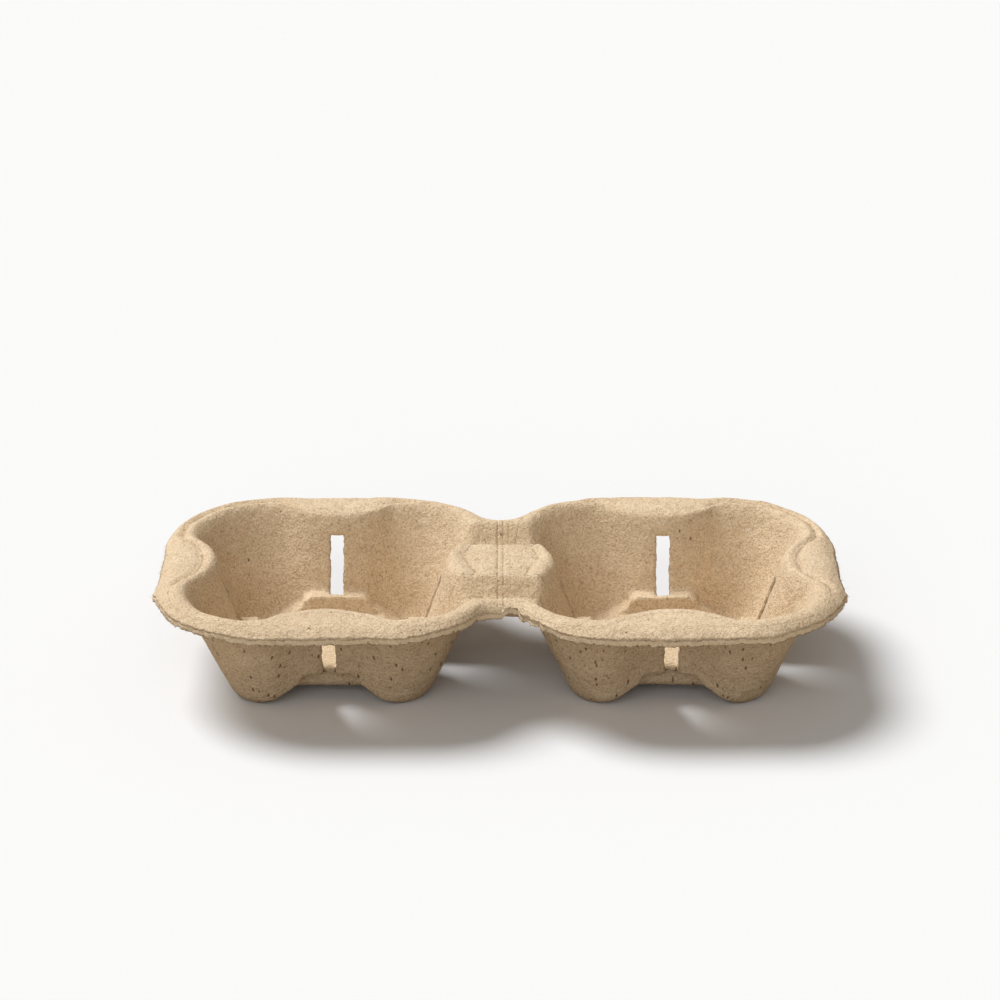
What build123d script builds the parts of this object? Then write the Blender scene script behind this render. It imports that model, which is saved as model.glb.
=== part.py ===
from build123d import *
from math import cos, radians, tan
import os

os.makedirs("parts", exist_ok=True)

# A two-cup carrier of moulded fibre: one sheet, formed in one go, of even thickness.
# X runs along the carrier, Y across it, Z up. The feet stand at Z = 0, the origin is
# under the middle, and all lengths are in millimetres.

# the sheet
WALL = 1.9
HEIGHT = 36.5  # from the feet to the crest of the rim

# the two wells, measured on the inside of the sheet
MOUTH_HALF = 44.0  # half the width of a well at the crest
WELL_GAP = 17.0  # between the mouths of the two wells
MOUTH_CORNER = 22.0
FOOT_CORNER = 9.0
WALL_DRAFT = 23.5  # degrees from upright
RIB_PUSH = 7.8  # how far the rib in the middle of each wall stands into the well
RIB_DRAFT = 19.0  # a rib is steeper than the wall, so that it fades towards the foot
RIB_CROWN = 0.75  # the part of a rib's width and depth that its broad round crown takes
RIB_CLEAR = 1.0  # straight wall between a rib and the rounded corner
FOOT_ROUND = 4.5
FOOT_WIDTH = 7.2  # of the underside of each foot, with its rounded edge
CREST_ROUND = 4.0
CREST_FLAT = 0.5  # the level top of the crest, between its rounding and the lip

# the arch in the middle of each wall, between two feet, measured on the outside
ARCH_TOP = 10.5
ARCH_DEPTH = 5.0  # from the side of a foot in to the wall behind the arch
ARCH_TOP_HALF = 7.8
ARCH_SHOULDER = 9.0
ARCH_NECK_HALF = 9.2
ARCH_NECK = 7.4
ARCH_NECK_SLOPE = (0.8, -1)
ARCH_FOOT_SLOPE = (1, -0.05)
FLOOR_RISE = 4.5

# the slot down each rib
SLOT_WIDTH = 4.2
SLOT_BELOW_CREST = 7.0

# the lip round the top
LIP_WIDTH = 10.0  # from the crest out to the edge
LIP_DROP = 3.5  # from the crest down to the top of the cut edge
LIP_CORNER = 37.0
LIP_STEPS = [0.0, 0.18, 0.38, 0.62, 1.0]  # how far in from the edge the lip's sections lie
WAIST_BLEND = 36.0  # from the middle to where the outline is full width again
WAIST_TURN = 0.2  # the part of that way on which the outline is hollow, not rounded

# the bridge between the wells: a block at the height of the crest, with a valley
# before it and one behind
BLOCK_HALF = 12.0
VALLEY_DEPTH = 7.0
VALLEY_DRAFT = 35.0
VALLEY_FLOOR = 7.7  # its flat width, before the corners are rounded
VALLEY_ROUND = 3.5
BLOCK_ROUND = 2.0
WAIST_CREST = 5.0  # from the outline in to the crest at the waist
WAIST_ROUND = 1.0

# worked out from the sizes above
QUARTER_TURN = 90
CORNER_CUT = 1 - cos(radians(QUARTER_TURN / 2))  # what a corner of radius 1 takes off a side
WALL_ACROSS = WALL / cos(radians(WALL_DRAFT))  # a drafted wall, measured level
VALLEY_ACROSS = WALL / cos(radians(VALLEY_DRAFT))
WALL_LEAN = tan(radians(WALL_DRAFT))
RIB_LEAN = tan(radians(RIB_DRAFT))
PITCH = 2 * MOUTH_HALF + WELL_GAP
FOOT_HALF = MOUTH_HALF - HEIGHT * WALL_LEAN + WALL_ACROSS
ARCH_BACK = FOOT_HALF - ARCH_DEPTH
ARCH_FOOT_HALF = FOOT_HALF - FOOT_WIDTH
VALLEY_SIDE = VALLEY_DEPTH * tan(radians(VALLEY_DRAFT))
VALLEY_FAR = BLOCK_HALF + 2 * VALLEY_SIDE + VALLEY_FLOOR
WAIST_HALF = VALLEY_FAR + WAIST_CREST  # half the width of the outline between the wells
EDGE_LOW = HEIGHT - LIP_DROP - WALL
CREST_INSET = CREST_ROUND * tan(radians((QUARTER_TURN - WALL_DRAFT) / 2)) + CREST_FLAT
LIP_REACH = LIP_WIDTH - CREST_INSET  # from the edge to where the level crest begins
LENGTH = PITCH + 2 * (MOUTH_HALF + LIP_WIDTH)
WIDTH = 2 * (MOUTH_HALF + LIP_WIDTH)
WELL_CENTRES = [(-PITCH / 2, 0), (PITCH / 2, 0)]


def well_section(height, skin):
    """A level section of a well: a rounded square with a rib pushed into each side.
    skin is 0 for the inside of the sheet and 1 for the outside."""
    depth = HEIGHT - height
    half = MOUTH_HALF - depth * WALL_LEAN + skin * WALL_ACROSS
    rib = RIB_PUSH - depth * (WALL_LEAN - RIB_LEAN)
    corner = FOOT_CORNER + (MOUTH_CORNER - FOOT_CORNER) * height / HEIGHT + skin * WALL
    straight = half - corner
    push = straight - RIB_CLEAR
    crown = RIB_CROWN * push
    shoulder = half - (1 - RIB_CROWN) * rib
    cut = corner * CORNER_CUT
    with BuildSketch(Plane.XY.offset(height)) as section:
        with BuildLine():
            for side in range(4):
                def turned(x, y):
                    return Vector(x, y).rotate(Axis.Z, QUARTER_TURN * side)

                flank = [turned(half, -push), turned(shoulder, -crown)]
                far_flank = [turned(half, push), turned(shoulder, crown)]
                Line(turned(half, -straight), flank[0])
                TangentArc(flank, tangent=turned(0, 1))
                ThreePointArc(flank[1], turned(half - rib, 0), far_flank[1])
                TangentArc(far_flank, tangent=turned(0, -1))
                Line(far_flank[0], turned(half, straight))
                ThreePointArc(
                    turned(half, straight),
                    turned(half - cut, half - cut),
                    turned(straight, half),
                )
        make_face()
    return section.sketch


def arch_section(plane, grow, top):
    """The arch between two feet, seen from outside the well, made larger by grow and cut
    off level at the height top."""
    neck = ARCH_NECK_HALF + grow
    high = ARCH_TOP + grow
    with BuildSketch(plane) as section:
        with BuildLine():
            Line((0, high), (ARCH_TOP_HALF + grow, high))
            Line((ARCH_TOP_HALF + grow, high), (neck, ARCH_SHOULDER + grow))
            Line((neck, ARCH_SHOULDER + grow), (neck, ARCH_NECK + grow))
            Spline(
                (neck, ARCH_NECK + grow),
                (ARCH_FOOT_HALF, grow),
                tangents=[ARCH_NECK_SLOPE, ARCH_FOOT_SLOPE],
            )
            Line((ARCH_FOOT_HALF, grow), (ARCH_FOOT_HALF, -WALL))
            Line((ARCH_FOOT_HALF, -WALL), (0, -WALL))
            mirror(about=Plane.YZ)
        make_face()
        Rectangle(WIDTH, 2 * top, mode=Mode.INTERSECT)
    return section.sketch


def well(skin):
    """One well as a solid, from its feet up to the crest: its outside with skin 1, or the
    space inside it with skin 0, which is smaller by the sheet's thickness and flares out
    over the rounded crest."""
    grow = (1 - skin) * WALL
    with BuildPart() as form:
        loft([well_section(grow, skin), well_section(HEIGHT, skin)], ruled=True)
        fillet(form.faces().sort_by(Axis.Z)[0].edges(), FOOT_ROUND + skin * WALL)
        if skin == 0:
            with BuildSketch(Plane.XY.offset(HEIGHT)):
                Rectangle(WIDTH, WIDTH)
            extrude(amount=WALL)
            under = form.faces().filter_by(Axis.Z).group_by(Axis.Z)[-2][0]
            fillet(under.inner_wires()[0].edges(), CREST_ROUND)
        for side in range(4):
            outward = Vector(0, -1, 0).rotate(Axis.Z, QUARTER_TURN * side)
            along = Vector(1, 0, 0).rotate(Axis.Z, QUARTER_TURN * side)
            middle = Plane((0, 0, 0), x_dir=along, z_dir=outward)
            arch = arch_section(middle.offset(ARCH_BACK - grow), grow, HEIGHT)
            extrude(arch, amount=MOUTH_HALF, mode=Mode.SUBTRACT)
            channel = arch_section(middle, grow, FLOOR_RISE + grow)
            extrude(channel, amount=ARCH_BACK, mode=Mode.SUBTRACT)
    return form.part


def slots():
    """The four slots of one well, one down the middle of each rib."""
    top = HEIGHT - SLOT_BELOW_CREST
    with BuildPart() as form:
        for side in range(4):
            outward = Vector(0, -1, 0).rotate(Axis.Z, QUARTER_TURN * side)
            along = Vector(1, 0, 0).rotate(Axis.Z, QUARTER_TURN * side)
            with BuildSketch(Plane(outward * (ARCH_BACK + WALL), x_dir=along, z_dir=outward)):
                with Locations((0, (ARCH_TOP + top) / 2)):
                    Rectangle(SLOT_WIDTH, top - ARCH_TOP)
            extrude(amount=MOUTH_HALF - RIB_PUSH - ARCH_BACK)
    return form.part


def outline_section(height, inward):
    """The carrier's outline at a height: two rounded squares run together, with a waist
    between them. inward is 0 at the cut edge and 1 where the crest begins."""
    end = LENGTH / 2 - inward * LIP_REACH
    side = WIDTH / 2 - inward * LIP_REACH
    corner = LIP_CORNER - inward * (LIP_CORNER - MOUTH_CORNER - CREST_INSET)
    waist = WAIST_HALF - inward * (WAIST_CREST - WAIST_ROUND)
    cut = corner * CORNER_CUT
    turn = (WAIST_TURN * WAIST_BLEND, waist + WAIST_TURN * (side - waist))
    with BuildSketch(Plane.XY.offset(height)) as section:
        with BuildLine():
            TangentArc((0, waist), turn, tangent=(1, 0))
            TangentArc((WAIST_BLEND, side), turn, tangent=(-1, 0))
            Line((WAIST_BLEND, side), (end - corner, side))
            ThreePointArc((end - corner, side), (end - cut, side - cut), (end, side - corner))
            Line((end, side - corner), (end, 0))
            mirror(about=Plane.YZ)
            mirror(about=Plane.XZ)
        make_face()
    return section.sketch


def under_lip(low, drop):
    """All that lies under the lip's upper face, from the height low, with the face lowered
    by drop."""
    edge_top = HEIGHT - LIP_DROP - drop
    sections = [outline_section(low, 0)]
    for inward in LIP_STEPS:
        sections.append(outline_section(edge_top + LIP_DROP * (1 - (1 - inward) ** 2), inward))
    with BuildPart() as form:
        loft(sections, ruled=True)
    return form.part


def valleys(skin):
    """The two valleys of the bridge, from their floors up past the crest, as solids."""
    near = BLOCK_HALF - skin * VALLEY_ACROSS
    far = VALLEY_FAR + skin * VALLEY_ACROSS
    floor = HEIGHT - VALLEY_DEPTH - skin * WALL
    lean = (HEIGHT - floor) * tan(radians(VALLEY_DRAFT))
    reach = PITCH / 2 - MOUTH_HALF + VALLEY_DEPTH * WALL_LEAN + VALLEY_ROUND
    with BuildPart() as form:
        with BuildSketch(Plane.YZ) as profile:
            with BuildLine():
                Polyline(
                    (near, HEIGHT),
                    (near + lean, floor),
                    (far - lean, floor),
                    (far, HEIGHT),
                    close=True,
                )
            make_face()
            fillet(profile.vertices().group_by(Axis.Y)[0], VALLEY_ROUND + skin * WALL)
        extrude(amount=reach, both=True)
        if skin == 0:
            with BuildSketch(Plane.XY.offset(HEIGHT)):
                with Locations((0, (near + far) / 2)):
                    Rectangle(2 * reach, 2 * (far - near))
            extrude(amount=WALL)
            folds = form.edges().filter_by(Axis.X).filter_by(lambda edge: edge.center().Z == HEIGHT)
            fillet(folds.sort_by(Axis.Y)[1], BLOCK_ROUND)
            fillet(folds.sort_by(Axis.Y)[2], WAIST_ROUND)
        mirror(about=Plane.XZ)
    return form.part


with BuildPart() as outside:
    with Locations(*WELL_CENTRES):
        add(well(1))
    add(valleys(1))
    add(under_lip(0, 0), mode=Mode.INTERSECT)

with BuildPart() as cup_carrier:
    add(under_lip(EDGE_LOW, 0))
    add(under_lip(EDGE_LOW - WALL, WALL), mode=Mode.SUBTRACT)
    add(outside.part)
    with Locations(*WELL_CENTRES):
        add(well(0), mode=Mode.SUBTRACT)
        add(slots(), mode=Mode.SUBTRACT)
    add(valleys(0), mode=Mode.SUBTRACT)

cup_carrier.part.label = "cup_carrier"
export_step(cup_carrier.part, "parts/cup_carrier.step")
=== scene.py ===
# %% [markdown]
# # A moulded pulp carrier for two cups
# The real carrier is one sheet of wet paper pulp, sucked onto a mesh mould and dried. Its look
# comes from one flowing form, a felt-like face and the rough edge where the sheet was trimmed.
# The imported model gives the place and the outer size, and everything is worked out inside it.

# %% Load the frame
from math import atan, cos, pi, radians, sin, tan

import bpy
import numpy as np
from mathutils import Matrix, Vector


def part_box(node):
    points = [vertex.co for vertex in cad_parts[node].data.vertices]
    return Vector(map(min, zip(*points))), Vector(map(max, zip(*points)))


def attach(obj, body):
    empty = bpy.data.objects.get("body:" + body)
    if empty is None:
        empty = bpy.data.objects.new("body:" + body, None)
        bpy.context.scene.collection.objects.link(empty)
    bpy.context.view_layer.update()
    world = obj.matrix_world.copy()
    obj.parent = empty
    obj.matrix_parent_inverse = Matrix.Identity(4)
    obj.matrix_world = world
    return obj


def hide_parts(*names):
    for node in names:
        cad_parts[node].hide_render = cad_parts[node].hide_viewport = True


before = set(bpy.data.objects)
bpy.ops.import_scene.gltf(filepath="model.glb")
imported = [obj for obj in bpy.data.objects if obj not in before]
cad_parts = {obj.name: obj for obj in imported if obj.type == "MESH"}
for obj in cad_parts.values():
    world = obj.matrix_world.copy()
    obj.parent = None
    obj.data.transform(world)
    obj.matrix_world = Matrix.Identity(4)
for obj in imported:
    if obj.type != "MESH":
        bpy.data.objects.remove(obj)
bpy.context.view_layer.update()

NODE = "cup_carrier"
lowest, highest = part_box(NODE)

# %% [markdown]
# ## The sizes of the form
# A mould maker thinks of the carrier as a few simple shapes: two wells with leaning walls, a lip
# that rolls over to a cut edge, a bridge with a block and two valleys, and an arch cut into the
# foot of each wall. All lengths here are in millimetres. The overall size comes from the frame.

# %% Sizes, in millimetres
MM = 0.001
HEIGHT = highest[2] / MM
LENGTH = (highest[0] - lowest[0]) / MM
WIDTH = (highest[1] - lowest[1]) / MM
WALL = 1.9

MOUTH_HALF = 44.0
MOUTH_CORNER = 22.0
FOOT_CORNER = 9.0
WALL_DRAFT = radians(23.5)
WALL_LEAN = tan(WALL_DRAFT)
WALL_ACROSS = WALL / cos(WALL_DRAFT)
RIB_LEAN = tan(radians(19.0))
RIB_PUSH = 7.8
RIB_CROWN = 0.75  # the share of a rib that its round crown takes
RIB_CLEAR = 1.0  # between a rib and the corner
CENTRE = LENGTH / 2 - WIDTH / 2  # from the middle of the carrier to the middle of a well

LIP_DROP = 3.5
LIP_CORNER = 37.0
LIP_REACH = 6.9
CREST_INSET = 3.1  # how much rounder the crest's corner is than the mouth's
WAIST_HALF = 34.5
WAIST_LIP = 4.0
WAIST_BLEND = 36.0  # from the waist to where the outline runs straight
WAIST_TURN = 0.2  # the share of that which the hollow arc takes

BLOCK_HALF = 12.0
VALLEY_FAR = 29.5
VALLEY_DEPTH = 7.0
VALLEY_DRAFT = radians(35.0)
VALLEY_LEAN = tan(VALLEY_DRAFT)
VALLEY_END = (20.0, 25.0)  # inside the wells, where the walls lie far below the valleys

ARCH_BACK = 25.2
FLOOR_RISE = 4.5
SLOT_HALF = 2.1
SLOT_TOP = HEIGHT - 7.0
print("carrier", LENGTH, "by", WIDTH, "by", HEIGHT, "mm, wells", CENTRE, "mm from the middle")

# %% [markdown]
# ## Rounding two surfaces into one
# Pulp can't hold a sharp corner, because the wet fibres bridge it. A smooth minimum gives the
# same softness: where two heights are close, the result dips a little under both, so the fold
# turns into a round. One number, its width in height, makes each fold as soft as the real one.

# %% Smooth minimum and maximum
CREST_BLEND = 4.4


def smooth_min(a, b, width):
    """The lower of a and b, less a quarter of width times the square of how far their difference
    falls short of width, so that the two surfaces join in a round instead of a fold."""
    near = np.maximum(width - np.abs(a - b), 0) / width
    return np.minimum(a, b) - near * near * width / 4


def smooth_max(a, b, width):
    """The higher of a and b, rounded in the same way."""
    return -smooth_min(-a, -b, width)


def step(x, low, high):
    """0 below low, 1 above high, and between them 3t squared less 2t cubed."""
    t = np.clip((x - low) / (high - low), 0, 1)
    return t * t * (3 - 2 * t)


print("a fold at the crest rounds off by", smooth_min(np.float64(0), np.float64(0), CREST_BLEND))

# %% [markdown]
# ## A well as a height
# A level cut through a well is a rounded square with a rib pushed into each side, and it shrinks
# evenly towards the foot. Solving that cut for the height tells, for any point in the plan, how
# high the wall stands there. Halving an interval finds it for every point at once.

# %% Height of a well's wall over any point
BISECTIONS = 28
SEARCH_FROM, SEARCH_TO = -25.0, HEIGHT + 60.0  # the heights between which a wall is looked for


def halved(low, high, holds):
    """The value up to which a test holds, found by halving the interval from low to high."""
    for _ in range(BISECTIONS):
        middle = (low + high) / 2
        held = holds(middle)
        low, high = np.where(held, middle, low), np.where(held, high, middle)
    return (low + high) / 2


def section_reach(height, along, skin):
    """How far from the middle of the well its wall stands at a height, seen at a distance along
    from the wall's own middle: half the well's width less the rib, whose broad crown is one arc
    and each shoulder another, or beyond the straight part the arc of the corner. skin is 0
    inside, 1 outside."""
    depth = HEIGHT - height
    half = MOUTH_HALF - depth * WALL_LEAN + skin * WALL_ACROSS
    corner = FOOT_CORNER + (MOUTH_CORNER - FOOT_CORNER) * height / HEIGHT + skin * WALL
    corner = np.maximum(corner, 1.0)
    straight = half - corner
    rib = RIB_PUSH - depth * (WALL_LEAN - RIB_LEAN)
    push = straight - RIB_CLEAR
    both = (push**2 + rib**2) / (2 * rib)
    wide, tight = RIB_CROWN * both, (1 - RIB_CROWN) * both
    crown = rib - wide + np.sqrt(wide**2 - np.minimum(along, RIB_CROWN * push) ** 2)
    shoulder = tight - np.sqrt(tight**2 - np.clip(push - along, 0, (1 - RIB_CROWN) * push) ** 2)
    deep = np.where(along < RIB_CROWN * push, crown, shoulder)
    arc = straight + np.sqrt(np.maximum(corner**2 - (along - straight) ** 2, 0))
    return np.where(along < straight, half - deep, arc)


def wall_height(x, y, skin):
    """The height at which the level cut of the well passes through (x, y), measured from the
    middle of the well."""
    out = np.maximum(np.abs(x), np.abs(y))
    along = np.minimum(np.abs(x), np.abs(y))
    return halved(SEARCH_FROM, SEARCH_TO, lambda height: out > section_reach(height, along, skin))


at_rib = wall_height(np.array([MOUTH_HALF - RIB_PUSH]), np.array([0.0]), 0)
print("mouth at", at_rib, "mm high at the rib")

# %% [markdown]
# ## The outline and the lip
# The outline is two rounded squares run together, with a waist between them that four arcs make.
# The lip follows it inwards: nested copies of the outline climb a parabola from the cut edge to
# the crest. The same halving finds which copy a point lies on.

# %% Outline and lip
BEYOND_EDGE = -0.2  # a little outside the cut edge


def inside_outline(x, y, inward):
    """Whether (x, y) lies inside the outline that is drawn in by inward, 0 at the cut edge and 1
    at the crest. Its waist is a tight hollow arc that runs over into a wide round one."""
    end = LENGTH / 2 - inward * LIP_REACH
    side = WIDTH / 2 - inward * LIP_REACH
    corner = LIP_CORNER - inward * (LIP_CORNER - MOUTH_CORNER - CREST_INSET)
    waist = WAIST_HALF - inward * WAIST_LIP
    both = (WAIST_BLEND**2 + (side - waist) ** 2) / (2 * (side - waist))
    tight, wide = WAIST_TURN * both, (1 - WAIST_TURN) * both
    turn = WAIST_TURN * WAIST_BLEND
    x, y = np.abs(x), np.abs(y)
    hollow = waist + tight - np.sqrt(tight**2 - np.minimum(x, turn) ** 2)
    shoulder = side - wide + np.sqrt(wide**2 - np.clip(WAIST_BLEND - x, 0, WAIST_BLEND - turn) ** 2)
    past = np.clip(x - (end - corner), 0, corner)
    round_end = side - corner + np.sqrt(corner**2 - past**2)
    reach = np.where(x < turn, hollow, np.where(x < WAIST_BLEND, shoulder, round_end))
    return (x <= end) & (y <= reach)


def inward_of(x, y):
    """Which nested outline passes through (x, y): 0 at the cut edge, 1 at the crest and inside."""
    return np.clip(halved(BEYOND_EDGE, 1.0, lambda inward: inside_outline(x, y, inward)), 0, 1)


half_way = np.array([-(WIDTH - LIP_REACH) / 2])
print("half way over the front lip:", inward_of(np.array([CENTRE]), half_way))

# %% [markdown]
# ## The sheet's two faces
# Both faces are heights over the plan. The lip, the wells and the valleys are carved out of each
# other, and then the floor and the arches between the feet are raised. The outer face has the
# same make-up, one wall thickness further out. The bead round each mouth ends in a shallow
# crease, which the mould's rim leaves on the ends, the back and the block, but not in front. At
# the back's corners the crease lies nearer to the mouth and the shelf behind it stands higher.

# %% The two faces
ARCH_PLAN = [0.0, 7.6, 9.1, 9.6, 13.0, 17.0, 20.0, 22.0, 23.5, 26.0]
ARCH_RISE = [10.5, 10.5, 8.9, 7.2, 4.9, 2.2, 0.75, 0.2, -0.4, -3.0]
ARCH_WIDENS = 0.8  # inside, as a share of the wall's thickness
ARCH_RAMP = 0.6  # half its length
CREASE_AT = 5.0  # from the crest to the foot of the bead
CREASE_BACK = 3.3  # the same at the back
CREASE_NEARS = (8.0, 34.0)  # in y, where it changes over
CREASE_STARTS = (-30.0, -15.0)  # in y, where it deepens
CREASE_BESIDE = (21.0, 30.0)  # the same in x, beside the bridge
CREASE_WIDTH = 1.25
CREASE_DEPTH = 1.05
SHELF_DROP = 0.30
SHELF_DROPS = (-36.0, -20.0)  # in y, where the shelf drops
SHELF_STEP = 0.65  # from the bead up to the shelf behind it, at the back's corners
SHELF_STEPS = (14.0, 32.0)  # in y, where that step grows
SHELF_FROM = (-0.6, 2.2)  # from the crease, where the shelf rises
SHELF_OUT = (0.1, 0.45)  # the same as shares of the lip
BEAD_SUNK = 0.6  # the share of the step by which the bead sinks
BLOCK_REACH = 16.0
PANEL_PLAN = ([-11.3, 2.6, 11.7], [7.4, 11.6, 9.6])  # the block's crease: y, and x from the middle
PANEL_SLANT = 0.95  # the cosine of the slant of its sides
PANEL_MIDDLE, PANEL_ENDS = 0.2, (11.5, 14.0)  # in y, and how far from there it ends
PANEL_FAR = 25.0  # far enough to leave nothing of it
LIP_BLEND, VALLEY_BLEND, FLOOR_BLEND, ARCH_BLEND = 1.4, 2.0, 5.0, 0.6


def on_block(gx, gy):
    """Whether a point lies near the block in the middle of the bridge."""
    return (np.abs(gx) < BLOCK_REACH) & (np.abs(gy) < BLOCK_REACH)


def from_crease(gx, gy, inner_wall):
    """How far a point lies from the nearest crease, in millimetres, positive on the side away
    from the well. On the block the crease is bent like the edge of its panel; elsewhere it runs
    beside the mouth."""
    from_crest = np.interp(gy, CREASE_NEARS, [CREASE_AT, CREASE_BACK])
    bead = (inner_wall - HEIGHT) * WALL_LEAN - from_crest
    panel = PANEL_SLANT * (np.interp(gy, *PANEL_PLAN) - np.abs(gx))
    panel = panel + PANEL_FAR * step(np.abs(gy - PANEL_MIDDLE), *PANEL_ENDS)
    return np.where(on_block(gx, gy), panel, bead)


def creased(gx, gy):
    """How much of the crease there is, 0 to 1: all of it on the block and round the back and the
    ends, and none in front or beside the bridge."""
    beside = step(gy, *CREASE_STARTS) * step(np.abs(gx), *CREASE_BESIDE)
    return np.where(on_block(gx, gy), 1.0, beside)


def arch(along, out, grow):
    """The height of the arch under a wall: its profile along the wall beyond the arch's back, and
    at most the floor's height in the channel before it, with a short ramp between the two."""
    profile = np.interp(along - ARCH_WIDENS * grow, ARCH_PLAN, ARCH_RISE) + grow
    behind = step(out, ARCH_BACK - grow - ARCH_RAMP, ARCH_BACK - grow + ARCH_RAMP)
    low = np.minimum(profile, FLOOR_RISE + grow)
    return low + (profile - low) * behind


def face_height(gx, gy, skin):
    """The height of the inner face (skin 0) or the outer face (skin 1) over a point of the plan:
    the lowest of lip, wells and valleys, then the highest of that, the floor and the arches."""
    x, y = np.abs(gx) - CENTRE, gy
    down = skin * WALL
    inner_wall = wall_height(x, y, 0)
    wall = wall_height(x, y, 1) if skin else inner_wall
    outward = 1 - inward_of(gx, gy)
    lip = HEIGHT - LIP_DROP * outward**2
    away = from_crease(gx, gy, inner_wall)
    lip = lip - CREASE_DEPTH * creased(gx, gy) * np.exp(-((away / CREASE_WIDTH) ** 2))
    dropped = step(away, -CREASE_WIDTH, CREASE_WIDTH) * step(gy, *SHELF_DROPS)
    lip = lip - SHELF_DROP * dropped - down
    shelf = step(away, *SHELF_FROM) * step(outward, *SHELF_OUT) * (1 - outward**4)
    lip = lip + SHELF_STEP * (shelf - BEAD_SUNK) * step(gy, *SHELF_STEPS) * creased(gx, gy)
    aside = down / cos(VALLEY_DRAFT)
    near = HEIGHT - (np.abs(y) - BLOCK_HALF + aside) / VALLEY_LEAN
    far = HEIGHT - (VALLEY_FAR + aside - np.abs(y)) / VALLEY_LEAN
    valley = smooth_max(near, HEIGHT - VALLEY_DEPTH - down, VALLEY_BLEND)
    valley = smooth_max(valley, far, VALLEY_BLEND)
    valley = valley + HEIGHT * step(np.abs(gx), *VALLEY_END)
    top = smooth_min(smooth_min(lip, valley, LIP_BLEND), wall, CREST_BLEND)
    top = smooth_max(top, (1 - skin) * WALL, FLOOR_BLEND)
    grow = (1 - skin) * WALL
    raised = np.maximum(arch(np.abs(x), np.abs(y), grow), arch(np.abs(y), np.abs(x), grow))
    return smooth_max(top, raised, ARCH_BLEND)


print("floor", face_height(np.array([CENTRE]), np.array([0.0]), 0), "mm inside")

# %% [markdown]
# ## A grid that follows the form
# A square core covers the floor, and columns run out from its border to the edge: straight out
# from the sides, and fanned round the corners. The rows across them sit at even heights up the
# wall, so every square of the mesh is about a millimetre. On the lip the columns double, because
# the rough edge needs the finest points.

# %% Columns of the grid
CORE = 19.1
SIDE_COLUMNS = 36
END_FAN = 30
WAIST_FAN = 10
BRIDGE_FAN = 22
waist_angle = np.arctan2(WAIST_HALF - CORE, CENTRE - CORE)


def fan_angles(fan):
    """The angles of a corner's columns, twice as many as the wall needs, from one side to the
    next. Beside the bridge one of them points at the waist."""
    if fan == "end":
        return np.linspace(0, pi / 2, 2 * END_FAN + 1)
    to_waist = np.linspace(0, waist_angle, 2 * WAIST_FAN + 1)
    return np.concatenate([to_waist, np.linspace(waist_angle, pi / 2, 2 * BRIDGE_FAN + 1)[1:]])


def grid_columns():
    """For each column, in turn round the well: where it starts on the core's border, its
    direction, the side that it belongs to and its place along that side. Side 0 faces the end,
    1 the back, 2 the bridge and 3 the front. A corner's columns have no side, which is -1."""
    start, direction, side, place = [], [], [], []
    straight = np.linspace(-CORE, CORE, 2 * SIDE_COLUMNS + 1)
    for k in range(4):
        turn = np.array([[cos(k * pi / 2), sin(k * pi / 2)], [-sin(k * pi / 2), cos(k * pi / 2)]])
        points = np.stack([np.full(straight.shape, CORE), straight], axis=1)
        outward = np.tile([1.0, 0.0], (len(straight), 1))
        angles = fan_angles("end")
        if k == 1:
            angles = pi / 2 - fan_angles("bridge")[::-1]
        if k == 2:
            angles = fan_angles("bridge")
        angles = angles[1:-1]
        fan = np.stack([np.cos(angles), np.sin(angles)], axis=1)
        corner = np.full((len(angles), 2), CORE)
        start.append(np.concatenate([points, corner]) @ turn)
        direction.append(np.concatenate([outward, fan]) @ turn)
        side.append(np.concatenate([np.full(len(straight), k), np.full(len(angles), -1)]))
        place.append(np.concatenate([straight, np.zeros(len(angles))]))
    return [np.concatenate(part) for part in (start, direction, side, place)]


start, direction, side, place = grid_columns()
print(len(start), "columns on the lip, half as many on the wall")

# %% [markdown]
# ## Where the rows lie
# A row on the wall is a level cut, so each column is followed outwards until it meets that cut.
# The rows under the floor and over the lip are shares of the way between two such places. Near
# the middle of the bridge the last rows keep a fixed distance from the middle instead, so that
# the two scored lines there fall exactly on rows.

# %% Rows of the grid
FLOOR_ROWS = [0.12, 0.24, 0.34, 0.41, 0.455, 0.485, 0.515, 0.545, 0.59, 0.66, 0.76, 0.88]
WALL_ROWS = np.concatenate([np.linspace(1.0, 29.5, 31), [30.5, 31.5, 32.5, 33.4, 34.2, 35.0, 35.8]])
LIP_ROWS = [0.05, 0.11, 0.18, 0.26, 0.34, 0.42, 0.50, 0.58, 0.66, 0.74, 0.82, 0.89, 0.95, 1.0]
SCORE = 0.87  # from the middle of the bridge to each scored line
BRIDGE_ROWS = [2.2, 1.5, 1.12, SCORE, 0.62, 0.32, 0.0]  # the last rows, from the middle line
ON_LINE = 0.001  # a point nearer than this to the middle line lies on it


def follow(inside, reach=80.0):
    """How far along each column the test inside() still holds."""
    def holds(distance):
        point = start + direction * np.reshape(distance, (-1, 1))
        return inside(point[:, 0], point[:, 1])
    return halved(0.0, reach, holds)


def to_cut(height, skin):
    """Along each column, the distance to the level cut of the well at a height."""
    def inside(x, y):
        out, along = np.maximum(np.abs(x), np.abs(y)), np.minimum(np.abs(x), np.abs(y))
        return out <= section_reach(height, along, skin)
    return follow(inside)


to_edge = follow(lambda x, y: inside_outline(x + CENTRE, y, 0.0) & (x + CENTRE >= 0))
edge_points = start + direction * to_edge[:, None]
on_middle = np.abs(edge_points[:, 0] + CENTRE) < ON_LINE
print(on_middle.sum(), "of", len(start), "columns end at the middle of the bridge")

# %% [markdown]
# ## Unevenness
# The sheet sags a little as it dries, thickens where pulp gathered, and its trimmed edge is
# ragged. Each of those is a sum of plane waves with random directions and phases, which is smooth
# and never repeats within the piece. The seed is fixed, so the same carrier comes out every time.

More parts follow.
